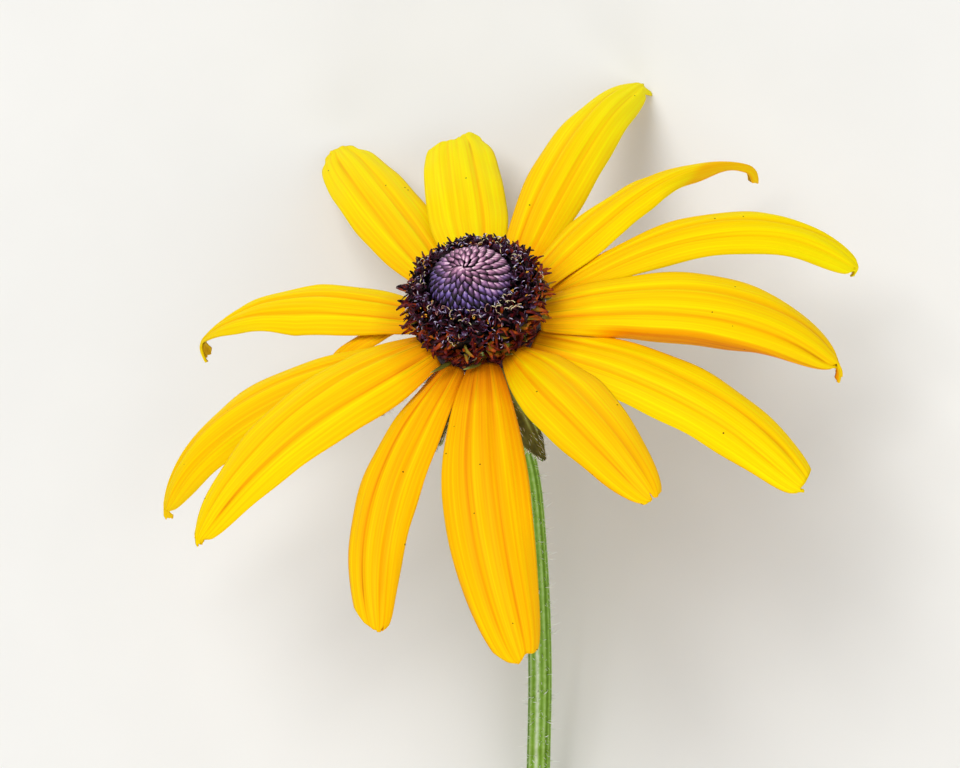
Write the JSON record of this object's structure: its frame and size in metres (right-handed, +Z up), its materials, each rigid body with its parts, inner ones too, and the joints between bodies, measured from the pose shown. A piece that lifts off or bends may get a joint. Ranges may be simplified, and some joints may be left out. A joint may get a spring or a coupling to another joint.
{
  "type": "black-eyed susan flower",
  "caption": "Single black-eyed susan flower: drooping yellow ray florets round a dark domed disc, on a short bare cut stem, lying on its side.",
  "frame": {"origin": "middle of the lying flower's bounding box, on the surface it rests on", "axes": "+Z up from the surface, +Y from the cut stem end towards the head, +X to the right as seen with the stem nearest"},
  "size_m": [0.0776, 0.1164, 0.0521],
  "materials": {
    "stem": "hairy green stalk",
    "bud_florets": "waxy mauve buds",
    "open_florets": "dark velvety florets with cream styles",
    "outer_florets": "dark spiky chaff",
    "ray_florets": "satin yellow petal",
    "bracts": "hairy green leaflet"
  },
  "bodies": {
    "root": {"stem": "stem", "disc_bud_florets": "bud_florets", "disc_open_florets": "open_florets", "disc_outer_florets": "outer_florets", "ray_floret_01": "ray_florets", "ray_floret_02": "ray_florets", "ray_floret_03": "ray_florets", "ray_floret_04": "ray_florets", "ray_floret_05": "ray_florets", "ray_floret_06": "ray_florets", "ray_floret_07": "ray_florets", "ray_floret_08": "ray_florets", "ray_floret_09": "ray_florets", "ray_floret_10": "ray_florets", "ray_floret_11": "ray_florets", "ray_floret_12": "ray_florets", "ray_floret_13": "ray_florets", "ray_floret_14": "ray_florets", "bract_01": "bracts", "bract_02": "bracts", "bract_03": "bracts", "bract_04": "bracts", "bract_05": "bracts", "bract_06": "bracts", "bract_07": "bracts", "bract_08": "bracts", "bract_09": "bracts", "bract_10": "bracts", "bract_11": "bracts", "bract_12": "bracts", "bract_13": "bracts", "bract_14": "bracts"}
  },
  "joints": []
}
